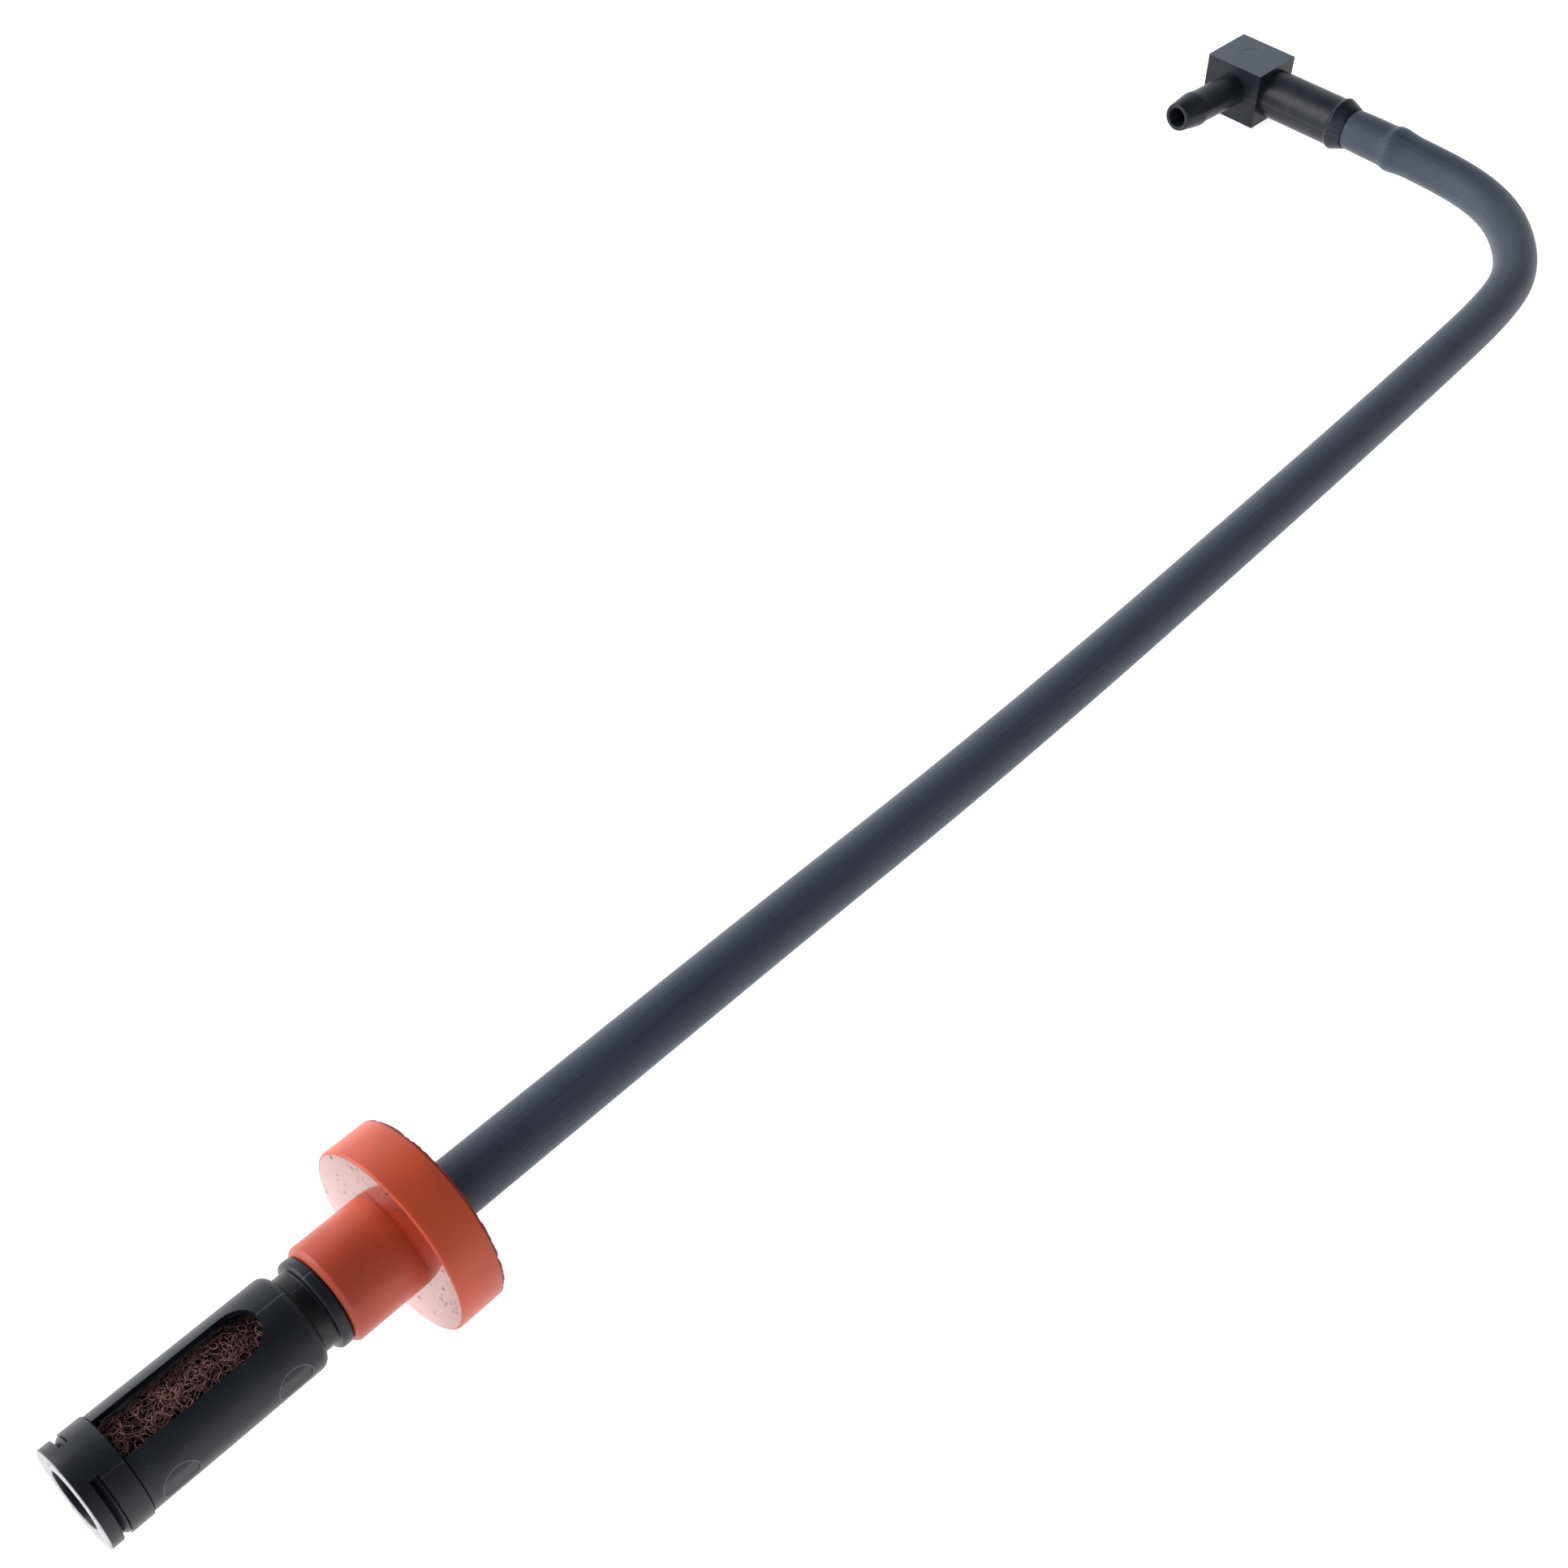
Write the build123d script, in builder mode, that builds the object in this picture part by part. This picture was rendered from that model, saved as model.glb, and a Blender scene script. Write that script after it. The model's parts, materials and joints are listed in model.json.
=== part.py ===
from build123d import *
import os
from math import cos, pi, radians, sin, tan

os.makedirs("parts", exist_ok=True)

# Fuel tank pick-up line: a caged felt filter, a tank grommet, a rubber hose and an elbow.
# It lies on a flat surface at z = 0, with the filter and the hose along +X.
# "along" distances are measured on the filter's own axis, from the outer face of its end cap.

# ---- general ----
fit_clearance = 0.05
filter_tilt = 3.6

# ---- hose ----
hose_diameter = 7.0
hose_bore = 3.5

# ---- end cap ----
cap_diameter = 11.6
cap_wall = 0.85
cap_length = 4.75
cap_disc_thickness = 1.35
cap_hole_diameter = 6.8
cap_window_width = 0.95
cap_window_angle = 131.0
cap_rim_round = 0.12

# ---- filter housing ----
housing_diameter = 11.2
housing_wall = 0.9
housing_end = 25.75
shoulder_round = 1.5
skirt_wall = 0.6
skirt_overlap = 0.8
lug_angle_gap = 3.0
lug_end_gap = 0.1
lug_below_surface = 0.25
lug_tip_height = 0.15
lug_crest = 0.2
window_width = 5.3
window_end = 22.0
neck_diameter = 9.0
neck_length = 1.7
collar_diameter = 10.6
collar_length = 1.45
collar_round = 0.4
mould_mark_diameter = 4.0
mould_mark_depth = 0.12
first_mark_along = 8.1
second_mark_along = 21.5

# ---- felt element ----
felt_bore = 3.0
felt_bore_depth = 18.0
felt_end_gap = 0.3

# ---- hose stems, on the housing and on the elbow ----
stem_diameter = 3.8
stem_barb_diameter = 4.6
stem_bore = 2.4
stem_length = 7.0
stem_barb_length = 2.0
stem_tip_diameter = 3.3

# ---- hose route ----
first_straight_end = 85.5
route_middle = [
    (120.5, -0.2, 4.35),
    (188.1, -0.2, 3.9),
    (227.3, 0.1, 3.85),
    (249.4, 0.4, 4.1),
    (260.6, 2.6, 4.5),
    (271.2, 10.5, 4.8),
    (276.2, 19.7, 5.05),
]
last_corner = (278.1, 33.1)
hose_end = (278.95, 46.2)
bend_share = 0.45

# ---- grommet ----
sleeve_diameter = 11.7
sleeve_length = 8.75
sleeve_chamfer = 0.5
flange_diameter = 22.9
flange_thickness = 5.6
flange_front_round = 0.35
grommet_gap = 0.05

# ---- elbow fitting ----
block_width = 10.3
block_length = 11.7
block_height = 10.3
block_edge_round = 0.2
shank_diameter = 8.5
shank_length = 14.8
ridge_diameter = 9.2
ridge_land = 0.4
ridge_cone_length = 2.2
cone_tip_diameter = 7.4
spigot_diameter = 5.9
spigot_rise = 3.0
spigot_length = 16.0
spigot_barb_diameter = 6.3
spigot_barb_length = 5.0
spigot_tip_diameter = 4.9
spigot_bore = 3.4
hose_end_gap = 0.05

# ---- where the filter's axis starts ----
grommet_start = housing_end + neck_length + collar_length + grommet_gap
flange_start = grommet_start + sleeve_length
grommet_end = flange_start + flange_thickness
tilt_sin = sin(radians(filter_tilt))
tilt_cos = cos(radians(filter_tilt))
nearest_x = -cap_diameter / 2 * tilt_sin
farthest_x = grommet_end * tilt_cos + flange_diameter / 2 * tilt_sin
filter_start_x = -(nearest_x + farthest_x) / 2
filter_start_z = grommet_end * tilt_sin + flange_diameter / 2 * tilt_cos
filter_axis = Plane(
    origin=(filter_start_x, 0, filter_start_z),
    x_dir=(tilt_sin, 0, tilt_cos),
    z_dir=(tilt_cos, 0, -tilt_sin),
)
# In this plane +Z runs along the filter, +X is its upper side and +Y is to its left.
side_profile = Plane(
    origin=filter_axis.origin,
    x_dir=filter_axis.z_dir,
    z_dir=filter_axis.y_dir,
)
# In this plane +X runs along the filter and +Y points up from its axis.
filter_line = Axis(filter_axis.origin, filter_axis.z_dir)

# ---- end cap ----
cap_radius = cap_diameter / 2
cap_bore_radius = cap_radius - cap_wall
window_cut_start = cap_disc_thickness
with BuildPart() as end_cap:
    with BuildSketch(filter_axis):
        Circle(cap_radius)
        Circle(cap_hole_diameter / 2, mode=Mode.SUBTRACT)
    extrude(amount=cap_disc_thickness)
    with BuildSketch(filter_axis.offset(cap_disc_thickness)):
        Circle(cap_radius)
        Circle(cap_bore_radius, mode=Mode.SUBTRACT)
    extrude(amount=cap_length - cap_disc_thickness)
    for side_turn in (90, 270):
        with BuildSketch(filter_axis.offset(window_cut_start)):
            with BuildLine():
                window_arc = CenterArc(
                    (0, 0), cap_radius + 1, side_turn - cap_window_angle / 2, cap_window_angle
                )
                Line(window_arc @ 1, (0, 0))
                Line((0, 0), window_arc @ 0)
            make_face()
        extrude(amount=cap_window_width, mode=Mode.SUBTRACT)
    cap_rim = end_cap.edges().filter_by(GeomType.CIRCLE)
    cap_rim = cap_rim.filter_by(lambda edge: abs(edge.radius - cap_radius) < 0.001)
    fillet(cap_rim.sort_by(filter_line)[0], radius=cap_rim_round)
end_cap.part.label = "end_cap"
export_step(end_cap.part, "parts/end_cap.step")

# ---- filter housing, one moulding from its snap skirt to its hose stem ----
housing_radius = housing_diameter / 2
housing_bore_radius = housing_radius - housing_wall
skirt_radius = cap_bore_radius - fit_clearance
skirt_bore_radius = skirt_radius - skirt_wall
skirt_start = cap_disc_thickness + fit_clearance
housing_start = cap_length + fit_clearance
neck_end = housing_end + neck_length
collar_end = neck_end + collar_length
bore_end = housing_end - housing_wall
stem_start = collar_end
stem_end = stem_start + stem_length
stem_radius = stem_diameter / 2
stem_barb_radius = stem_barb_diameter / 2
stem_barb_start = stem_length - stem_barb_length
lug_top_radius = cap_radius - lug_below_surface
lug_start = cap_disc_thickness + lug_end_gap
lug_end = cap_disc_thickness + cap_window_width - lug_end_gap
lug_angle = cap_window_angle - 2 * lug_angle_gap
with BuildPart() as filter_housing:
    with BuildSketch(side_profile):
        with BuildLine():
            Polyline(
                (lug_start, skirt_radius - skirt_wall / 2),
                (lug_start, skirt_radius + lug_tip_height),
                (lug_end - lug_crest, lug_top_radius),
                (lug_end, lug_top_radius),
                (lug_end, skirt_radius - skirt_wall / 2),
                close=True,
            )
        make_face()
    revolve(axis=filter_line)
    for web_turn in (0, 180):
        with BuildSketch(filter_axis.offset(lug_start)):
            with BuildLine():
                web_arc = CenterArc(
                    (0, 0), cap_radius + 1, web_turn - (180 - lug_angle) / 2, 180 - lug_angle
                )
                Line(web_arc @ 1, (0, 0))
                Line((0, 0), web_arc @ 0)
            make_face()
        extrude(amount=cap_window_width, mode=Mode.SUBTRACT)
    with BuildSketch(side_profile):
        with BuildLine():
            Polyline(
                (skirt_start, skirt_bore_radius),
                (skirt_start, skirt_radius),
                (housing_start, skirt_radius),
                (housing_start, housing_radius),
                (housing_end - shoulder_round, housing_radius),
            )
            RadiusArc(
                (housing_end - shoulder_round, housing_radius),
                (housing_end, housing_radius - shoulder_round),
                shoulder_round,
            )
            Polyline(
                (housing_end, housing_radius - shoulder_round),
                (housing_end, neck_diameter / 2),
                (neck_end, neck_diameter / 2),
                (neck_end, collar_diameter / 2),
                (collar_end, collar_diameter / 2),
                (collar_end, stem_radius),
                (stem_start + stem_barb_start, stem_radius),
                (stem_start + stem_barb_start, stem_barb_radius),
                (stem_end, stem_tip_diameter / 2),
                (stem_end, stem_bore / 2),
                (bore_end, stem_bore / 2),
                (bore_end, housing_bore_radius),
                (housing_start + skirt_overlap, housing_bore_radius),
                (housing_start + skirt_overlap, skirt_bore_radius),
                (skirt_start, skirt_bore_radius),
            )
        make_face()
    revolve(axis=filter_line)
    collar_edges = filter_housing.edges().filter_by(GeomType.CIRCLE)
    collar_edges = collar_edges.filter_by(lambda edge: abs(edge.radius - collar_diameter / 2) < 0.001)
    fillet(collar_edges, radius=collar_round)
    window_straight = window_end - window_width / 2
    for window_side in (0, 180):
        window_plane = side_profile.rotated((window_side, 0, 0))
        with BuildSketch(Plane(window_plane.origin, x_dir=window_plane.x_dir, z_dir=window_plane.y_dir)):
            with Locations(((housing_start + window_straight) / 2, 0)):
                Rectangle(window_straight - housing_start, window_width)
            with Locations((window_straight, 0)):
                Circle(window_width / 2)
        extrude(amount=housing_radius + 1, mode=Mode.SUBTRACT)
    for mark_side in (90, 270):
        mark_plane = side_profile.rotated((mark_side, 0, 0))
        mark_floor = Plane(
            mark_plane.origin + mark_plane.y_dir * (housing_radius - mould_mark_depth),
            x_dir=mark_plane.x_dir,
            z_dir=mark_plane.y_dir,
        )
        with BuildSketch(mark_floor):
            with Locations((first_mark_along, 0), (second_mark_along, 0)):
                Circle(mould_mark_diameter / 2)
        extrude(amount=1, mode=Mode.SUBTRACT)
filter_housing.part.label = "filter_housing"
export_step(filter_housing.part, "parts/filter_housing.step")

# ---- felt element, a plug with a blind hole from the hose side ----
felt_start = cap_disc_thickness + felt_end_gap
felt_end = bore_end - felt_end_gap
felt_radius = skirt_bore_radius - fit_clearance
with BuildPart() as felt_element:
    with BuildSketch(filter_axis.offset(felt_start)):
        Circle(felt_radius)
    extrude(amount=felt_end - felt_start)
    with BuildSketch(filter_axis.offset(felt_end)):
        Circle(felt_bore / 2)
    extrude(amount=-felt_bore_depth, mode=Mode.SUBTRACT)
felt_element.part.label = "felt_element"
export_step(felt_element.part, "parts/felt_element.step")

# ---- grommet, it slides along the first straight stretch of the hose ----
grommet_bore_radius = hose_diameter / 2 + fit_clearance
with BuildPart() as grommet:
    with BuildSketch(side_profile):
        with BuildLine():
            Polyline(
                (grommet_start, grommet_bore_radius),
                (grommet_start, sleeve_diameter / 2 - sleeve_chamfer),
                (grommet_start + sleeve_chamfer, sleeve_diameter / 2),
                (flange_start, sleeve_diameter / 2),
                (flange_start, flange_diameter / 2),
                (grommet_end, flange_diameter / 2),
                (grommet_end, grommet_bore_radius),
                close=True,
            )
        make_face()
    revolve(axis=filter_line)
    flange_rim = grommet.edges().filter_by(GeomType.CIRCLE)
    flange_rim = flange_rim.filter_by(lambda edge: abs(edge.radius - flange_diameter / 2) < 0.001)
    fillet(flange_rim.sort_by(filter_line)[0], radius=flange_front_round)
grommet.part.label = "grommet"
export_step(grommet.part, "parts/grommet.step")

# ---- hose, straight runs joined by tangent arcs ----
elbow_axis_height = block_height / 2
route = [
    filter_axis.origin + filter_axis.z_dir * stem_start,
    filter_axis.origin + filter_axis.z_dir * first_straight_end,
]
for x, y, z in route_middle:
    route.append(Vector(x, y, z))
route.append(Vector(last_corner[0], last_corner[1], elbow_axis_height))
route.append(Vector(hose_end[0], hose_end[1], elbow_axis_height))
bend_radii = []
for before, corner, after in zip(route[:-2], route[1:-1], route[2:]):
    run_in = corner - before
    run_out = after - corner
    half_turn = radians(run_in.get_angle(run_out)) / 2
    shorter_run = min(run_in.length, run_out.length)
    bend_radii.append(bend_share * shorter_run / tan(half_turn))
print("hose bend radii:", [round(radius, 1) for radius in bend_radii])
end_heading = (route[-1] - route[-2]).normalized()
hose_end_line = Axis(route[-1], end_heading)
elbow_profile = Plane(origin=route[-1], x_dir=end_heading, z_dir=(end_heading.Y, -end_heading.X, 0))
# In this plane +X runs on from the hose into the elbow and +Y points up.
pocket_radius = stem_radius + fit_clearance
pocket_barb_radius = stem_barb_radius + fit_clearance
pocket_depth = stem_length + fit_clearance
pocket_barb_start = stem_barb_start - fit_clearance
with BuildPart() as hose:
    with BuildLine() as hose_path:
        FilletPolyline(*route, radius=bend_radii)
    hose_length = hose_path.wires()[0].length
    with BuildSketch(Plane(origin=route[0], z_dir=filter_axis.z_dir)):
        Circle(hose_diameter / 2)
        Circle(hose_bore / 2, mode=Mode.SUBTRACT)
    sweep(path=hose_path.wires()[0])
    plain_volume = hose.part.volume
    for profile_plane, start, direction, line in (
        (side_profile, stem_start, 1, filter_line),
        (elbow_profile, 0, -1, hose_end_line),
    ):
        with BuildSketch(profile_plane):
            with BuildLine():
                Polyline(
                    (start, 0),
                    (start, pocket_radius),
                    (start + direction * pocket_barb_start, pocket_radius),
                    (start + direction * pocket_barb_start, pocket_barb_radius),
                    (start + direction * (stem_length - 1), pocket_barb_radius),
                    (start + direction * pocket_depth, hose_bore / 2),
                    (start + direction * pocket_depth, 0),
                    close=True,
                )
            make_face()
        revolve(axis=line, mode=Mode.SUBTRACT)
hose_section = pi / 4 * (hose_diameter**2 - hose_bore**2)
print("hose length:", round(hose_length, 1))
print("hose volume over section times length:", round(plain_volume / (hose_section * hose_length), 4))
print("straight stretch for the grommet:", round(
    (route[1] - route[0]).length - bend_radii[0] * tan(
        radians((route[1] - route[0]).get_angle(route[2] - route[1])) / 2
    ), 1))
hose.part.label = "hose"
export_step(hose.part, "parts/hose.step")

# ---- elbow fitting, one moulding that turns on the end of the hose ----
cone_end = hose_end_gap + ridge_cone_length
ridge_end = cone_end + ridge_land
block_start = ridge_end + shank_length
block_middle = block_start + block_length / 2
spigot_barb_start = block_width / 2 + spigot_length - spigot_barb_length
spigot_end = block_width / 2 + spigot_length
side_heading = Vector(-end_heading.Y, end_heading.X, 0)
block_face = Plane(
    origin=route[-1] + end_heading * block_start, x_dir=side_heading, z_dir=end_heading
)
block_centre = route[-1] + end_heading * block_middle
spigot_heading = side_heading * cos(radians(spigot_rise)) + Vector(0, 0, sin(radians(spigot_rise)))
# In this plane +X runs out along the small spigot, which rises a little, and +Y points up.
spigot_profile = Plane(origin=block_centre, x_dir=spigot_heading, z_dir=end_heading)
spigot_line = Axis(block_centre, spigot_heading)
with BuildPart() as elbow_fitting:
    with BuildSketch(block_face):
        Rectangle(block_width, block_height)
    extrude(amount=block_length)
    fillet(elbow_fitting.edges(), radius=block_edge_round)
    with BuildSketch(elbow_profile):
        with BuildLine():
            Polyline(
                (-stem_length, 0),
                (-stem_length, stem_tip_diameter / 2),
                (-stem_barb_start, stem_barb_radius),
                (-stem_barb_start, stem_radius),
                (hose_end_gap, stem_radius),
                (hose_end_gap, cone_tip_diameter / 2),
                (cone_end, ridge_diameter / 2),
                (ridge_end, ridge_diameter / 2),
                (ridge_end, shank_diameter / 2),
                (block_middle, shank_diameter / 2),
                (block_middle, 0),
                close=True,
            )
        make_face()
    revolve(axis=hose_end_line)
    with BuildSketch(spigot_profile):
        with BuildLine():
            Polyline(
                (0, 0),
                (0, spigot_diameter / 2),
                (spigot_barb_start, spigot_diameter / 2),
                (spigot_barb_start, spigot_barb_diameter / 2),
                (spigot_end, spigot_tip_diameter / 2),
                (spigot_end, 0),
                close=True,
            )
        make_face()
    revolve(axis=spigot_line)
    with BuildSketch(Plane(origin=block_centre, z_dir=spigot_heading)):
        Circle(spigot_bore / 2)
    extrude(amount=spigot_end, mode=Mode.SUBTRACT)
    with BuildSketch(Plane(origin=block_centre, z_dir=-end_heading)):
        Circle(stem_bore / 2)
    extrude(amount=block_middle + stem_length, mode=Mode.SUBTRACT)
elbow_fitting.part.label = "elbow_fitting"
export_step(elbow_fitting.part, "parts/elbow_fitting.step")
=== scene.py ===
import json
import math
import random

import bmesh
import bpy
from mathutils import Matrix, Vector, noise


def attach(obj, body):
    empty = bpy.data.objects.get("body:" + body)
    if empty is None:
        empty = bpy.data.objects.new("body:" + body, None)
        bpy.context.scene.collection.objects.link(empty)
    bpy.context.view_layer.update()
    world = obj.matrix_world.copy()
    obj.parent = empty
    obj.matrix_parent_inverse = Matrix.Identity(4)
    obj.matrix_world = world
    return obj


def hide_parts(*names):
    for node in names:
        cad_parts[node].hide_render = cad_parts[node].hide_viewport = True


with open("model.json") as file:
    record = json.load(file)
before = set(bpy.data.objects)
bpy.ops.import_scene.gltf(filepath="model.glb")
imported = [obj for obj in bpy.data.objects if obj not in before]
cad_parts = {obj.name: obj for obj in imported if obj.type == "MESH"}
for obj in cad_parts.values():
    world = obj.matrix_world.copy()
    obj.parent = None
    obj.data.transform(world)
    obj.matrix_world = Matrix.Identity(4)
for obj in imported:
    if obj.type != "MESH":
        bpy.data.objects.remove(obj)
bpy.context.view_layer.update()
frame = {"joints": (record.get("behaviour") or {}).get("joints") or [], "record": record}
scene = bpy.context.scene
scene.view_settings.view_transform = "Standard"
print("frame loaded")

mm = 0.001
sleeveMiddle = 33.575  # from the end cap's outer face to the middle of the sleeve mount, mm
joints = {joint["name"]: joint for joint in frame["joints"]}
mounts = {mount["name"]: mount for mount in frame["record"]["mounts"]}

# The filter's own frame: +X along it from the end cap's outer face, +Z its upper side.
filterAxis = Vector(joints["grommet_slide"]["axis"]).normalized()
filterStart = Vector(mounts["grommet_sleeve"]["pos_m"]) - filterAxis * sleeveMiddle * mm
filterTilt = math.atan2(-filterAxis.z, filterAxis.x)
filterFrame = Matrix.Translation(filterStart) @ Matrix.Rotation(filterTilt, 4, "Y")

# The elbow's own frame: +X on from the end of the hose, +Y out along the small spigot.
elbowStart = Vector(joints["elbow_swivel"]["pos_m"])
elbowAxis = Vector(joints["elbow_swivel"]["axis"]).normalized()
elbowTurn = math.atan2(elbowAxis.y, elbowAxis.x)
elbowFrame = Matrix.Translation(elbowStart) @ Matrix.Rotation(elbowTurn, 4, "Z")


def newObject(name, data):
    made = bpy.data.objects.new(name, data)
    scene.collection.objects.link(made)
    return made


# camera
camera = {
    "place": (-29.602, -97.781, 196.703),  # mm
    "heading": 42.6632,  # degrees from +X towards +Y
    "down": 48.7353,
    "roll": -0.3992,
    "lens": 45.536,
    "sensor": 36,
    "clip": (0.005, 20),  # m
}


def setCamera(settings):
    made = newObject("camera", bpy.data.cameras.new("camera"))
    made.matrix_world = (
        Matrix.Translation(Vector(settings["place"]) * mm)
        @ Matrix.Rotation(math.radians(settings["heading"] - 90), 4, "Z")
        @ Matrix.Rotation(math.radians(90 - settings["down"]), 4, "X")
        @ Matrix.Rotation(math.radians(settings["roll"]), 4, "Z")
    )
    made.data.sensor_width = settings["sensor"]
    made.data.lens = settings["lens"]
    made.data.clip_start, made.data.clip_end = settings["clip"]
    scene.camera = made


setCamera(camera)


# paints
def tone(red, green, blue):
    def straight(value):
        value /= 255
        return value / 12.92 if value <= 0.04045 else ((value + 0.055) / 1.055) ** 2.4

    return (straight(red), straight(green), straight(blue), 1)


class Wire:  # a socket that can be used in sums
    def __init__(self, owner, socket):
        self.owner = owner
        self.socket = socket

    def sum(self, operation, *values):
        return self.owner.node(
            "ShaderNodeMath", {"operation": operation}, dict(enumerate(values))
        )

    def __add__(self, other):
        return self.sum("ADD", self, other)

    def __radd__(self, other):
        return self.sum("ADD", other, self)

    def __sub__(self, other):
        return self.sum("SUBTRACT", self, other)

    def __rsub__(self, other):
        return self.sum("SUBTRACT", other, self)

    def __mul__(self, other):
        return self.sum("MULTIPLY", self, other)

    def __rmul__(self, other):
        return self.sum("MULTIPLY", other, self)

    def __gt__(self, other):
        return self.sum("GREATER_THAN", self, other)

    def __lt__(self, other):
        return self.sum("LESS_THAN", self, other)

    def __abs__(self):
        return self.sum("ABSOLUTE", self)

    def band(self, low, high, give=(0, 1)):  # smooth step from low to high
        return self.owner.node(
            "ShaderNodeMapRange",
            {"interpolation_type": "SMOOTHSTEP"},
            {
                "Value": self, "From Min": low, "From Max": high,
                "To Min": give[0], "To Max": give[1],
            },
        )


class Nodes:  # a node tree and the nodes that this object's finishes use
    def __init__(self, tree):
        self.tree = tree
        self.tree.nodes.clear()

    def feed(self, socket, value):
        if isinstance(value, Wire):
            self.tree.links.new(value.socket, socket)
        else:
            socket.default_value = value

    def node(self, kind, settings=None, inputs=None, give=0):
        made = self.tree.nodes.new(kind)
        for name, value in (settings or {}).items():
            setattr(made, name, value)
        for name, value in (inputs or {}).items():
            self.feed(made.inputs[name], value)
        return Wire(self, made.outputs[give]) if made.outputs else None

    def parts(self, vector):
        split = self.node("ShaderNodeSeparateXYZ", None, {"Vector": vector})
        return [Wire(self, output) for output in split.socket.node.outputs]

    def reach(self, x, y, z=0):  # distance of a point from the origin
        point = self.node("ShaderNodeCombineXYZ", None, {"X": x, "Y": y, "Z": z})
        return self.node("ShaderNodeVectorMath", {"operation": "LENGTH"}, {0: point}, "Value")

    def scaled(self, vector, sizes):
        return self.node(
            "ShaderNodeVectorMath", {"operation": "MULTIPLY"}, {0: vector, 1: sizes}
        )

    def noise(self, vector, scale, detail=2, rough=0.5):
        return self.node(
            "ShaderNodeTexNoise",
            None,
            {"Vector": vector, "Scale": scale, "Detail": detail, "Roughness": rough},
        )

    def specks(self, vector, scale, size):  # 1 inside small scattered dots
        dots = self.node(
            "ShaderNodeTexVoronoi", {"feature": "F1"}, {"Vector": vector, "Scale": scale},
            "Distance",
        )
        return dots.band(size * 0.6, size, (1, 0))

    def mix(self, share, first, second):
        return self.node(
            "ShaderNodeMix", {"data_type": "RGBA"}, {0: share, 6: first, 7: second}, 2
        )


class Paint(Nodes):
    def __init__(self, name, **finish):
        self.material = bpy.data.materials.new(name)
        self.material.use_nodes = True
        super().__init__(self.material.node_tree)
        self.shader = self.tree.nodes.new("ShaderNodeBsdfPrincipled")
        output = self.tree.nodes.new("ShaderNodeOutputMaterial")
        self.tree.links.new(self.shader.outputs[0], output.inputs[0])
        for socket, value in finish.items():
            self.set(socket.replace("_", " "), value)

    def set(self, socket, value):
        self.feed(self.shader.inputs[socket], value)

    def place(self, start=(0, 0, 0), turn=(0, 0, 0)):  # object coordinates in a piece's own frame
        return self.node(
            "ShaderNodeMapping",
            {"vector_type": "TEXTURE"},
            {
                "Vector": self.node("ShaderNodeTexCoord", give="Object"),
                "Location": start,
                "Rotation": turn,
            },
        )

    def bump(self, height, depth, strength=1):
        return self.node(
            "ShaderNodeBump", None, {"Height": height, "Distance": depth, "Strength": strength}
        )


# making pieces
def vertsOf(geom):
    return [item for item in geom if isinstance(item, bmesh.types.BMVert)]


def edgesOf(geom):
    return [item for item in geom if isinstance(item, bmesh.types.BMEdge)]


def asObject(name, bm):
    mesh = bpy.data.meshes.new(name)
    bm.to_mesh(mesh)
    bm.free()
    return newObject(name, mesh)


def finished(piece):  # its mesh with the modifiers applied
    graph = bpy.context.evaluated_depsgraph_get()
    return bpy.data.meshes.new_from_object(piece.evaluated_get(graph))


def loft(bm, outline, steps):  # a closed outline of (along, radius) in mm, turned round +X
    corners = [bm.verts.new((along * mm, 0, radius * mm)) for along, radius in outline]
    sides = [bm.edges.new(pair) for pair in zip(corners, corners[1:] + corners[:1])]
    bmesh.ops.spin(
        bm, geom=corners + sides, cent=(0, 0, 0), axis=(1, 0, 0), dvec=(0, 0, 0),
        angle=math.tau, steps=steps, use_merge=True, use_duplicate=False,
    )
    bmesh.ops.recalc_face_normals(bm, faces=bm.faces)


def ringEdges(bm, along, radius):
    def on(vert):
        away = math.hypot(vert.co.y, vert.co.z)
        return abs(vert.co.x - along) < 1e-6 and abs(away - radius) < 1e-5

    return [edge for edge in bm.edges if all(on(vert) for vert in edge.verts)]


def roundRing(bm, along, radius, size, segments=3):
    bmesh.ops.bevel(
        bm, geom=ringEdges(bm, along * mm, radius * mm), offset=size * mm, affect="EDGES",
        segments=segments, profile=0.5, material=-1,
    )


def makePiece(name, bm, place, paints, body=None, sharp=35, flat=None):
    # flat: faces over this many square mm are not shaded smooth
    bmesh.ops.transform(bm, matrix=place, verts=bm.verts)
    piece = asObject(name, bm)
    for paint in paints:
        piece.data.materials.append(paint.material)
    piece.data.shade_smooth()
    piece.data.set_sharp_from_angle(angle=math.radians(sharp))
    for face in piece.data.polygons if flat else []:
        face.use_smooth = face.area < flat * mm * mm
    if body:
        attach(piece, body)
    return piece


def asCutter(bm, place):
    bmesh.ops.recalc_face_normals(bm, faces=bm.faces)
    bmesh.ops.transform(bm, matrix=place, verts=bm.verts)
    return asObject("cutter", bm)


def cutAway(piece, cutters, sharp=35):
    for cutter in cutters:
        cut = piece.modifiers.new("cut", "BOOLEAN")
        cut.operation = "DIFFERENCE"
        cut.solver = "EXACT"
        cut.object = cutter
    mesh = finished(piece)
    piece.modifiers.clear()
    piece.data = mesh
    for cutter in cutters:
        bpy.data.objects.remove(cutter)
    mesh.set_sharp_from_angle(angle=math.radians(sharp))


def softenEdges(piece, width, segments=2, angle=35):
    soft = piece.modifiers.new("soft edges", "BEVEL")
    soft.width = width * mm
    soft.segments = segments
    soft.limit_method = "ANGLE"
    soft.angle_limit = math.radians(angle)
    soft.harden_normals = False


filterPlace = {"start": filterStart, "turn": (0, filterTilt, 0)}
elbowPlace = {"start": elbowStart, "turn": (0, 0, elbowTurn)}

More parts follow.
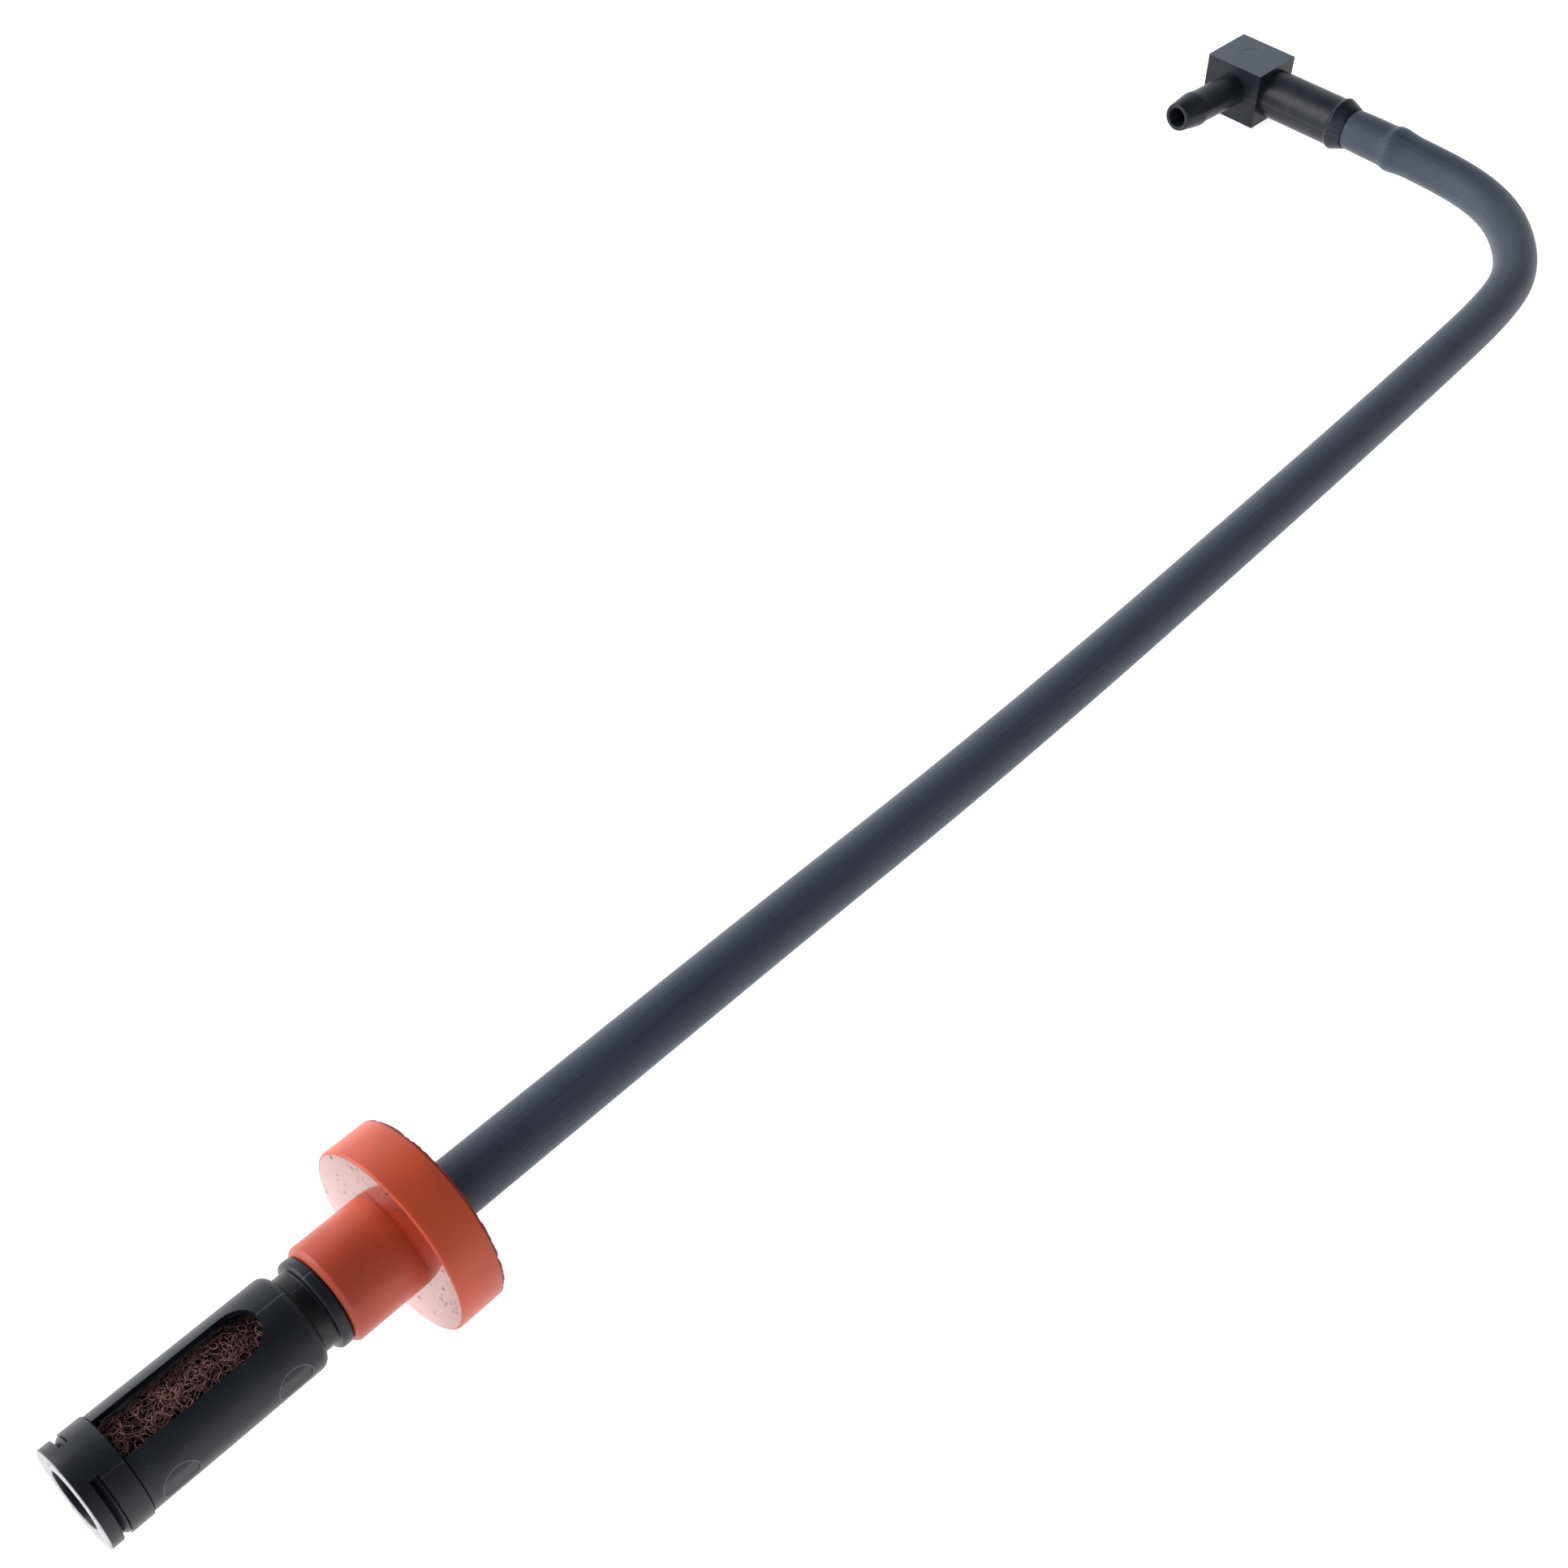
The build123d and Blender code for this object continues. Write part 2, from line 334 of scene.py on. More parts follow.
# hose, the cord of this object
hose = {
    "diameter": 7.0,
    "bore": 3.3,
    "boreDepth": 9,
    "length": 303.9,
    "around": 48,
    "rings": 260,
    "closeRings": (63, 0.25),  # more rings at the far end and their spacing
    "bulge": (9.4, 0.36, 1.0, 2.2),  # distance from the end, height, width before and after
    "swell": (0.14, 30, 8),  # height, reach, softness
    "route": [  # metres
        (0.007060, 0.0, 0.012332),
        (0.063548, 0.0, 0.008778),
        (0.120500, -0.0002, 0.004350),
        (0.188100, -0.0002, 0.003900),
        (0.227300, 0.0001, 0.003850),
        (0.249400, 0.0004, 0.004100),
        (0.260600, 0.0026, 0.004500),
        (0.271200, 0.0105, 0.004800),
        (0.276200, 0.0197, 0.005050),
        (0.278100, 0.0331, 0.005150),
        (0.278950, 0.0462, 0.005150),
    ],
    "near": (57, 64, 78),
    "far": (53, 60, 72),
    "lines": (76, 83, 97),
    "cloud": (44, 50, 62),
    "dust": (150, 155, 160),
}


def readLine(route, fineness):
    curve = bpy.data.curves.new("hose line", "CURVE")
    curve.dimensions = "3D"
    spline = curve.splines.new("NURBS")
    spline.points.add(len(route) - 1)
    for point, place in zip(spline.points, route):
        point.co = (*place, 1)
    spline.order_u = 3
    spline.use_endpoint_u = True
    spline.resolution_u = fineness
    carrier = newObject("hose line", curve)
    line = bpy.data.meshes.new_from_object(carrier)
    points = [vert.co.copy() for vert in line.vertices]
    bpy.data.objects.remove(carrier)
    return points


def hoseRadius(fromEnd, settings):  # the barb inside shows as a ring near the far end
    start, high, before, after = settings["bulge"]
    ring = math.exp(-(((fromEnd - start) / (before if fromEnd < start else after)) ** 2))
    rise, reach, soft = settings["swell"]
    swell = 1 / (1 + math.exp((fromEnd - reach) / soft)) - 1.2 * math.exp(-fromEnd / 2.5)
    return settings["diameter"] / 2 + high * ring + rise * swell


def hoseFrame(points, index, share):  # X to the side, Y up or down, Z along
    last = len(points) - 1
    before, after = max(index - 1, 0), min(index + 2, last)
    if index < 1:
        before, after = 0, 1
    if index > last - 3:
        before, after = last - 1, last
    heading = points[after] - points[before]
    side = Vector((-heading.y, heading.x, 0)).normalized()
    up = heading.cross(side).normalized()
    turn = Matrix((side, up, heading.normalized())).transposed().to_4x4()
    return Matrix.Translation(points[index].lerp(points[index + 1], share)) @ turn


def closeEnd(bm, rim, settings, inward):  # a flat end ring and the start of the bore
    middle = sum((vert.co for vert in rim["verts"]), Vector()) / len(rim["verts"])
    lip = bmesh.ops.extrude_edge_only(bm, edges=rim["edges"])["geom"]
    narrow = settings["bore"] / settings["diameter"]
    bmesh.ops.scale(
        bm, vec=(narrow, narrow, narrow), space=Matrix.Translation(-middle), verts=vertsOf(lip)
    )
    edges = [edge for edge in edgesOf(lip) if all(vert in vertsOf(lip) for vert in edge.verts)]
    deep = bmesh.ops.extrude_edge_only(bm, edges=edges)["geom"]
    ends = vertsOf(deep)
    bmesh.ops.translate(bm, vec=inward * settings["boreDepth"] * mm, verts=ends)
    edges = [edge for edge in edgesOf(deep) if all(vert in ends for vert in edge.verts)]
    bmesh.ops.contextual_create(bm, geom=edges)


def makeHose(settings, paint):
    points = readLine(settings["route"], 24)
    walked = [0.0]
    for before, after in zip(points, points[1:]):
        walked.append(walked[-1] + (after - before).length)
    rings = settings["rings"]
    extra, gap = settings["closeRings"]
    stations = [walked[-1] * step / rings for step in range(rings + 1)]
    stations = sorted(stations + [walked[-1] - step * gap * mm for step in range(1, extra + 1)])
    around = settings["around"]
    bm = bmesh.new()
    lines = bm.loops.layers.uv.new("along")
    made = []
    where = {}
    index = 0
    for station in stations:
        while index < len(walked) - 2 and walked[index + 1] < station:
            index += 1
        share = (station - walked[index]) / max(walked[index + 1] - walked[index], 1e-9)
        verts = bmesh.ops.create_circle(
            bm, segments=around, matrix=hoseFrame(points, index, share),
            radius=hoseRadius((walked[-1] - station) / mm, settings) * mm,
        )["verts"]
        where.update({vert: (number, station) for number, vert in enumerate(verts)})
        edges = list({edge for vert in verts for edge in vert.link_edges})
        made.append({"verts": verts, "edges": edges})
    for first, second in zip(made, made[1:]):
        bmesh.ops.bridge_loops(bm, edges=first["edges"] + second["edges"])
    for face in bm.faces:
        numbers = [where[vert][0] for vert in face.verts]
        for loop in face.loops:
            number, station = where[loop.vert]
            if number == 0 and max(numbers) == around - 1:
                number = around
            loop[lines].uv = (number / around, station / mm / 100)
    ends = [ring["verts"][0].co.copy() for ring in (made[0], made[1], made[-2], made[-1])]
    closeEnd(bm, made[0], settings, (ends[1] - ends[0]).normalized())
    closeEnd(bm, made[-1], settings, (ends[2] - ends[3]).normalized())
    bmesh.ops.recalc_face_normals(bm, faces=bm.faces)
    return makePiece("fuelHose", bm, Matrix.Identity(4), [paint], "line", 50), points


def rubber(settings):
    paint = Paint("slate rubber", Specular_IOR_Level=0.3, Sheen_Weight=0.16,
                  Sheen_Roughness=0.35, Sheen_Tint=(0.75, 0.88, 1, 1))
    flat = paint.node("ShaderNodeUVMap", {"uv_map": "along"})
    along = paint.parts(flat)[1]
    lines = paint.noise(paint.scaled(flat, (150, 5, 1)), 1, 3, 0.6)
    fine = paint.noise(paint.scaled(flat, (420, 14, 1)), 1, 2, 0.6)
    cloud = paint.noise(paint.place(), 140, 3)
    dust = paint.specks(paint.place(), 420, 0.035)
    colour = paint.mix(along.band(0.6, 2.9), tone(*settings["near"]), tone(*settings["far"]))
    colour = paint.mix(lines.band(0.35, 0.75) * 0.45, colour, tone(*settings["lines"]))
    colour = paint.mix(cloud.band(0.4, 0.75) * 0.25, colour, tone(*settings["cloud"]))
    colour = paint.mix(dust * 0.6, colour, tone(*settings["dust"]))
    paint.set("Base Color", colour)
    paint.set("Roughness", 0.32 + lines * 0.12 + cloud * 0.06)
    paint.set("Normal", paint.bump(lines * 0.8 + fine * 0.4, 0.00009, 0.9))
    return paint


hosePiece, hoseLine = makeHose(hose, rubber(hose))
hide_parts("hose")
print("hose made")

# black filter housing
housing = {
    "steps": 128,
    "radius": 5.6,
    "wall": 0.9,
    "start": 4.88,
    "end": 25.75,
    "shoulder": 1.05,
    "skirt": (1.4, 4.9, 4.3),  # start, outer radius, inner radius
    "lug": (1.45, 2.0, 2.2, 5.05, 5.55),  # start, top, end, radius at the start and the top
    "chamber": (5.6, 24.85),  # start and end of the space for the felt
    "neck": (27.45, 4.5),
    "neckRound": 0.18,
    "collar": (28.9, 5.3, 0.42),  # end, radius, rounding
    "stem": (35.8, 1.6, 1.2),  # end, radius, bore
    "window": (5.3, 4.9, 22.0),  # width, start, end
    "skirtWindow": (3.0, 7.4, 4.95),  # start, end, height where it starts
    "marks": (8.1, 21.5),
    "mark": (2.0, 0.13),  # radius, depth of the round mould marks
    "base": (30, 34, 40),
    "light": (42, 46, 52),
    # painted highlight of the parting line and of the ring line at the slot's end
    "line": (100, 106, 112),
    # painted highlight round the mould marks
    "outline": (110, 115, 120),
    # painted shade in the neck
    "neckTone": (12, 13, 16),
    "varnish": (84, 76, 60),
}


def slotBlock(width, start, end, low, high):
    # one half-round end, standing on the filter's upper side
    bm = bmesh.new()
    middle = (end - width / 2) * mm
    bmesh.ops.create_circle(
        bm, cap_ends=True, segments=64, radius=width / 2 * mm,
        matrix=Matrix.Translation((middle, 0, low * mm)),
    )
    bmesh.ops.bisect_plane(
        bm, geom=[*bm.verts, *bm.edges, *bm.faces], dist=1e-6, clear_inner=True,
        plane_co=(middle, 0, 0), plane_no=(1, 0, 0),
    )
    straight = [
        edge for edge in bm.edges if all(abs(vert.co.x - middle) < 1e-6 for vert in edge.verts)
    ]
    drawn = bmesh.ops.extrude_edge_only(bm, edges=straight)["geom"]
    bmesh.ops.translate(bm, vec=(start * mm - middle, 0, 0), verts=vertsOf(drawn))
    lifted = bmesh.ops.extrude_face_region(bm, geom=list(bm.faces))["geom"]
    bmesh.ops.translate(bm, vec=(0, 0, (high - low) * mm), verts=vertsOf(lifted))
    return bm


def drum(radius, low, high, segments=64):
    bm = bmesh.new()
    bmesh.ops.create_cone(
        bm, cap_ends=True, segments=segments, radius1=radius * mm, radius2=radius * mm,
        depth=(high - low) * mm, matrix=Matrix.Translation((0, 0, (high + low) / 2 * mm)),
    )
    return bm


def makeHousing(settings, paint):
    radius, start, end = settings["radius"], settings["start"], settings["end"]
    wallRadius = radius - settings["wall"]
    skirtStart, skirtOut, skirtIn = settings["skirt"]
    lugStart, lugTop, lugEnd, lugLow, lugHigh = settings["lug"]
    neckEnd, neckRadius = settings["neck"]
    collarEnd, collarRadius, collarRound = settings["collar"]
    stemEnd, stemRadius, stemBore = settings["stem"]
    chamberStart, chamberEnd = settings["chamber"]
    bm = bmesh.new()
    loft(bm, [
        (skirtStart, skirtIn), (skirtStart, skirtOut), (lugStart, skirtOut), (lugStart, lugLow),
        (lugTop, lugHigh), (lugEnd, lugHigh), (lugEnd, skirtOut), (start, skirtOut),
        (start, radius), (end, radius), (end, neckRadius), (neckEnd, neckRadius),
        (neckEnd, collarRadius), (collarEnd, collarRadius), (collarEnd, stemRadius),
        (stemEnd, stemRadius), (stemEnd, stemBore), (chamberEnd, stemBore),
        (chamberEnd, wallRadius), (chamberStart, wallRadius), (chamberStart, skirtIn),
    ], settings["steps"])
    roundRing(bm, end, radius, settings["shoulder"], 6)
    roundRing(bm, collarEnd, collarRadius, collarRound, 4)
    roundRing(bm, neckEnd, collarRadius, collarRound, 4)
    roundRing(bm, end, neckRadius, settings["neckRound"])
    roundRing(bm, neckEnd, neckRadius, settings["neckRound"])
    piece = makePiece("filterCage", bm, filterFrame, [paint], "line")
    width, windowStart, windowEnd = settings["window"]
    slotStart, slotEnd, slotLow = settings["skirtWindow"]
    markRadius, markDepth = settings["mark"]
    cutters = []
    for side in (0, 180):
        turn = filterFrame @ Matrix.Rotation(math.radians(side), 4, "X")
        cutters.append(asCutter(slotBlock(width, windowStart, windowEnd, 2.0, 8.0), turn))
        cutters.append(asCutter(slotBlock(width, slotStart, slotEnd, slotLow, 8.0), turn))
        turn = filterFrame @ Matrix.Rotation(math.radians(side + 90), 4, "X")
        for along in settings["marks"]:
            place = turn @ Matrix.Translation((along * mm, 0, 0))
            cutters.append(asCutter(drum(markRadius, radius - markDepth, 8), place))
    cutAway(piece, cutters)
    softenEdges(piece, 0.07)
    return piece


def nylon(name, settings, place, details):
    paint = Paint(name, Specular_IOR_Level=0.27)
    here = paint.place(**place)
    base, light = tone(*settings["base"]), tone(*settings["light"])
    cloud = paint.noise(here, 260, 3)
    grain = paint.noise(here, 5200, 2, 0.6)
    fine = paint.noise(here, 14000, 1)
    scuff = paint.noise(paint.scaled(here, (300, 2600, 2600)), 1, 3, 0.7)
    dust = paint.specks(here, 520, 0.045)
    colour = paint.mix(cloud.band(0.35, 0.7) * 0.5, base, light)
    colour = paint.mix(scuff.band(0.62, 0.8) * 0.35, colour, light)
    colour = paint.mix(dust * 0.35, colour, tone(120, 124, 128))
    colour, height = details(paint, here, colour, grain * 0.6 + fine * 0.4, settings)
    paint.set("Base Color", colour)
    paint.set("Roughness", 0.27 + grain * 0.1 + scuff * 0.05 + cloud * 0.05)
    paint.set("Normal", paint.bump(height, 0.00003, 0.55))
    return paint


def cageDetails(paint, here, colour, height, settings):
    along, side, up = paint.parts(here)
    end, neckEnd = settings["end"] * mm, settings["neck"][0] * mm
    slotEnd = settings["window"][2] * mm
    wander = paint.noise(here, 420, 2) - 0.5
    # the mould's parting line along the upper side, from the slot's end to the collar, and a ring
    # line at the slot's end: grooves in the bump, lightened as a painted highlight
    seam = abs(side + wander * 0.0004 - 0.00012).band(0.00003, 0.00009, (1, 0))
    seam = seam * (along > slotEnd - 0.0002) * (up > 0)
    ring = abs(along - (slotEnd - 0.0003)).band(0.00003, 0.00008, (1, 0)) * 0.45
    ring = ring * (side > 0.0029) * (up > 0.001)
    colour = paint.mix(seam * 0.6 + ring * 0.35, colour, tone(*settings["line"]))
    # thin light outlines of the round mould marks, a painted highlight on their rims, and their
    # flat insides lightened a little as painted light
    markRadius = settings["mark"][0] * mm
    for centre in settings["marks"]:
        away = paint.reach(along - centre * mm, up)
        outline = abs(away - markRadius - 0.00003).band(0.00003, 0.0001, (1, 0))
        outline = outline * (abs(side) > 0.003)
        inside = (away < markRadius - 0.00005) * (abs(side) > 0.003)
        colour = paint.mix(outline * 0.6, colour, tone(*settings["outline"]))
        colour = paint.mix(inside * 0.15, colour, tone(52, 56, 60))
    # the neck is darkened as painted shade, with brown patches towards its sides
    neck = (along > end - 0.00005) * (along < neckEnd + 0.00005)
    brownPatches = paint.noise(here, 700, 3).band(0.4, 0.7) * abs(side).band(0.0033, 0.0044)
    colour = paint.mix(neck * 0.7, colour, tone(*settings["neckTone"]))
    colour = paint.mix(neck * brownPatches * 0.8, colour, tone(*settings["varnish"]))
    # the inside is painted near-black, a painted shade
    inner = (paint.reach(side, up) < 0.0046) * (along < 0.0255)
    colour = paint.mix(inner, colour, tone(5, 5, 6))
    return colour, height - seam * 0.8 - ring * 0.5


cagePaint = nylon("satin black nylon", housing, filterPlace, cageDetails)
cagePiece = makeHousing(housing, cagePaint)
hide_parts("filter_housing")
print("housing made")

# end cap
cap = {
    "steps": 128,
    "radius": 5.8,
    "wall": 0.85,
    "disc": 1.35,
    "length": 4.75,
    "hole": 3.4,
    "rounding": (0.12, 0.15, 0.07),  # face rim, hole, back rim
    "window": (1.35, 2.3, 131),  # start, end, degrees
    "base": (34, 37, 42),
    "light": (48, 51, 56),
    "worn": ((104, 107, 112), (30, 30, 34)),  # face painted light grey as a painted reflection, its dark scuffs
}


def sector(inner, outer, low, high, degrees, segments=48):
    bm = bmesh.new()
    start = bm.verts.new((low * mm, inner * mm, 0))
    edge = bm.edges.new((start, bm.verts.new((low * mm, outer * mm, 0))))
    half = Matrix.Rotation(math.radians(-degrees / 2), 3, "X")
    bmesh.ops.rotate(bm, verts=bm.verts, cent=(0, 0, 0), matrix=half)
    bmesh.ops.spin(
        bm, geom=[*bm.verts, edge], cent=(0, 0, 0), axis=(1, 0, 0), dvec=(0, 0, 0),
        angle=math.radians(degrees), steps=segments, use_merge=False, use_duplicate=False,
    )
    lifted = bmesh.ops.extrude_face_region(bm, geom=list(bm.faces))["geom"]
    bmesh.ops.translate(bm, vec=((high - low) * mm, 0, 0), verts=vertsOf(lifted))
    return bm


def makeCap(settings, paint):
    radius, disc, length = settings["radius"], settings["disc"], settings["length"]
    wallRadius = radius - settings["wall"]
    hole = settings["hole"]
    faceRound, holeRound, backRound = settings["rounding"]
    bm = bmesh.new()
    loft(bm, [
        (0, hole), (0, radius), (length, radius), (length, wallRadius), (disc, wallRadius),
        (disc, hole),
    ], settings["steps"])
    roundRing(bm, 0, radius, faceRound)
    roundRing(bm, 0, hole, holeRound)
    roundRing(bm, length, radius, backRound, 2)
    piece = makePiece("snapCap", bm, filterFrame, [paint], "line")
    low, high, degrees = settings["window"]
    cutters = []
    for side in (0, 180):
        turn = filterFrame @ Matrix.Rotation(math.radians(side), 4, "X")
        cutters.append(asCutter(sector(4.6, 7, low, high, degrees), turn))
    cutAway(piece, cutters)
    softenEdges(piece, 0.07)
    return piece


def capDetails(paint, here, colour, height, settings):
    along, side, up = paint.parts(here)
    # a thin light line along the mould's parting line on the upper side, a painted highlight
    wander = paint.noise(here, 500, 2) - 0.5
    seam = abs(abs(side) - 0.0028 + wander * 0.0003).band(0.00003, 0.00008, (1, 0))
    seam = seam * (up > 0) * (along > settings["window"][1] * mm)
    colour = paint.mix(seam * 0.22, colour, tone(100, 103, 108))
    # the outer face is painted light grey, a painted reflection of the floor, with dark scuffs
    face = along.band(0.00002, 0.0001, (1, 0))
    scuffs = paint.noise(here, 1500, 3, 0.65).band(0.52, 0.66)
    reflected, dark = settings["worn"]
    colour = paint.mix(face, colour, paint.mix(scuffs * 0.8, tone(*reflected), tone(*dark)))
    paint.set("Coat Weight", face * (0.62 - scuffs * 0.5))
    paint.set("Coat IOR", 1.8)
    paint.set("Coat Roughness", 0.12)
    # the inside is painted near-black, a painted shade
    away = paint.reach(side, up)
    inner = (away < 0.00335) + (along > 0.0013) * (away < 0.00485)
    return paint.mix(inner, colour, tone(4, 4, 5)), height


capPaint = nylon("cap nylon with painted face reflection", cap, filterPlace, capDetails)
capPiece = makeCap(cap, capPaint)
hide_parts("end_cap")
print("cap made")

# felt element
felt = {
    "radius": 3.3,
    "start": 3.2,
    "end": 24.5,
    "rings": 60,
    "steps": 72,
    "lumps": ((900, 0.28), (2600, 0.2)),  # fineness, height
    "layers": [(360, 3.4), (360, 3.7), (230, 4.02)],  # fibres on each open side, distance out
    "reach": (4.4, 22.6, 0.98),  # where fibres start along the felt, and round it in radians
    "inside": (4.0, 23.8),  # no fibre passes these ends
    "outward": (3.2, 4.18),  # nor these distances out
    "thickness": 0.046,
    "seed": 17,
    "dark": (98, 50, 52),
    "light": (208, 146, 142),
    "cloud": (104, 60, 66),
    # painted shade of the deeper fibres
    "deep": (34, 12, 15),
    # the core painted nearly black, a painted shade under the fibres
    "coreShade": ((8, 3, 5), (34, 15, 18)),
}


def feltCore(settings, paint):
    bm = bmesh.new()
    start, end, radius = settings["start"], settings["end"], settings["radius"]
    rings = settings["rings"]
    outline = [(start, 0.3), (start, radius - 0.3)]
    outline += [(start + (end - start) * step / rings, radius) for step in range(rings + 1)]
    loft(bm, outline + [(end, 0.3)], settings["steps"])
    for vert in bm.verts:
        lump = sum(noise.noise(vert.co * fine) * high for fine, high in settings["lumps"])
        away = Vector((0, vert.co.y, vert.co.z))
        if away.length > 3 * mm:
            vert.co += away.normalized() * lump * mm
    return makePiece("feltCore", bm, filterFrame, [paint], "line", 180)


def feltFibres(settings, paint):
    chance = random.Random(settings["seed"])
    curve = bpy.data.curves.new("felt fibres", "CURVE")
    curve.dimensions = "3D"
    curve.bevel_depth = settings["thickness"] * mm
    curve.bevel_resolution = 0
    curve.use_fill_caps = False
    first, last, spread = settings["reach"]
    lowest, highest = settings["inside"]
    nearest, farthest = settings["outward"]

    def strand(start, turn, out, steps, stride, curl):
        heading = chance.uniform(0, math.tau)
        swing = chance.choice((-1, 1)) * chance.uniform(0.5, 1.5) * curl
        points = []
        for _ in range(steps):
            points.append((start, turn, out))
            heading += swing + chance.gauss(0, 0.35)
            start += stride * math.cos(heading)
            turn += stride * math.sin(heading) / 3.9
            out = min(max(out + chance.gauss(0, 0.09), nearest), farthest)
        return points

    for side in (0, math.pi):
        for out in [out for count, out in settings["layers"] for _ in range(count)]:
            start = chance.uniform(first, last)
            turn = side + chance.uniform(-spread, spread)
            out += chance.uniform(-0.12, 0.12)
            steps, stride = chance.randint(5, 8), chance.uniform(0.35, 0.65)
            points = strand(start, turn, out, steps, stride, 0.7)
            spline = curve.splines.new("NURBS")
            spline.points.add(len(points) - 1)
            thick = chance.uniform(0.6, 1.25)
            for point, (along, angle, away) in zip(spline.points, points):
                along = min(max(along, lowest), highest)
                point.co = (along * mm, away * mm * math.sin(angle), away * mm * math.cos(angle), 1)
                point.radius = thick
            spline.order_u = 3
            spline.use_endpoint_u = True
            spline.resolution_u = 2
    carrier = newObject("felt fibres", curve)
    bm = bmesh.new()
    bm.from_mesh(bpy.data.meshes.new_from_object(carrier))
    bpy.data.objects.remove(carrier)
    return makePiece("feltFibres", bm, filterFrame, [paint], "line", 180)


def fibrePaint(settings):
    paint = Paint("rose felt", Roughness=0.78, Sheen_Weight=0.35, Sheen_Roughness=0.5,
                  Sheen_Tint=(0.85, 0.6, 0.6, 1))
    here = paint.place(**filterPlace)
    grain = paint.noise(here, 3800, 3, 0.65)
    cloud = paint.noise(here, 420, 2)
    side, up = paint.parts(here)[1:3]
    # deeper fibres darkened, a painted shade
    deep = paint.reach(side, up).band(0.0033, 0.0042, (1, 0))
    dark, light = tone(*settings["dark"]), tone(*settings["light"])
    colour = paint.mix(grain.band(0.32, 0.68), dark, light)
    colour = paint.mix(cloud.band(0.4, 0.7) * 0.4, colour, tone(*settings["cloud"]))
    paint.set("Base Color", paint.mix(deep, colour, tone(*settings["deep"])))
    paint.set("Normal", paint.bump(grain, 0.00006, 0.6))
    return paint


# the felt core is painted nearly black, a painted shade under the fibres
def corePaint(settings):
    paint = Paint("felt core in painted shade", Roughness=0.95)
    grain = paint.noise(paint.place(**filterPlace), 4200, 4, 0.7)
    dark, light = settings["coreShade"]
    paint.set("Base Color", paint.mix(grain.band(0.35, 0.7), tone(*dark), tone(*light)))
    paint.set("Normal", paint.bump(grain, 0.0002, 1))
    return paint


corePiece = feltCore(felt, corePaint(felt))
fibrePiece = feltFibres(felt, fibrePaint(felt))
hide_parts("felt_element")
print("felt made")

# tank grommet
grommet = {
    "steps": 160,
    "start": 28.95,
    "sleeve": (8.75, 5.85, 0.5),  # length, radius, chamfer
    "flange": (5.6, 11.45, 0.3),  # thickness, radius, rounding
    "bore": 3.55,
    "ragged": ((14, 3, 1), (40, 7, 0.6)),  # waves of the cut edge: fineness, offset, share
    "raggedness": 0.16,
    "orange": ((216, 90, 56), (204, 85, 58)),
    # painted shade on the sleeve towards its filter end
    "sleeveEndShade": (178, 70, 52),
    # painted shade in the corner at the sleeve's root
    "rootShade": (186, 50, 14),
    # painted glints
    "glints": (240, 130, 90),
    "rare": (232, 190, 170),
    "cutEdge": (96, 34, 46),
    "face": ((158, 50, 30), (146, 48, 32)),
    "grime": (84, 48, 52),
    "spots": (52, 30, 34),
    "faceRare": (120, 70, 72),
    "mirrored": ((146, 38, 16), (224, 110, 60)),  # the sleeve as a painted reflection in the polished face, its painted glints
}


def makeGrommet(settings, paint, facePaint):
    start = settings["start"]
    length, radius, chamfer = settings["sleeve"]
    thick, wide, rounding = settings["flange"]
    seat = start + length
    back = seat + thick
    bm = bmesh.new()
    loft(bm, [
        (start, settings["bore"]), (start, radius - chamfer), (start + chamfer, radius),
        (seat - 0.4, radius), (seat, radius), (seat, wide), (back - 0.8, wide),
        (back - 0.25, wide), (back, wide), (back, wide - 0.5), (back, settings["bore"]),
    ], settings["steps"])
    roundRing(bm, seat, wide, rounding)
    roundRing(bm, start, radius - chamfer, 0.12, 2)
    roundRing(bm, start + chamfer, radius, 0.15, 2)
    # knife-cut back edge
    for vert in bm.verts:
        away = math.hypot(vert.co.y, vert.co.z)
        if abs(vert.co.x - back * mm) < 1e-6 and away > (wide - 0.1) * mm:
            angle = math.atan2(vert.co.y, vert.co.z)
            ragged = 0
            for fine, offset, share in settings["ragged"]:
                spot = Vector((math.cos(angle) * fine, math.sin(angle) * fine, offset))
                ragged += share * noise.noise(spot)
            ragged = abs(ragged) * settings["raggedness"]
            vert.co.x -= ragged * mm
            vert.co.yz *= 1 - ragged / wide
    for face in bm.faces:
        if abs(face.calc_center_median().x - seat * mm) < 1e-6:
            face.material_index = 1
    return makePiece("tankGrommet", bm, filterFrame, [paint, facePaint], "grommet", 32)


def silicone(name, **finish):  # the paint and the textures that both finishes share
    paint = Paint(name, IOR=1.41, **finish)
    here = paint.place(**filterPlace)
    cloud = paint.noise(here, 190, 3)
    grain = paint.noise(here, 3400, 3, 0.6)
    paint.set("Roughness", 0.3 + grain * 0.12)
    return paint, here, cloud, grain, paint.specks(here, 1900, 0.16), paint.specks(here, 620, 0.05)


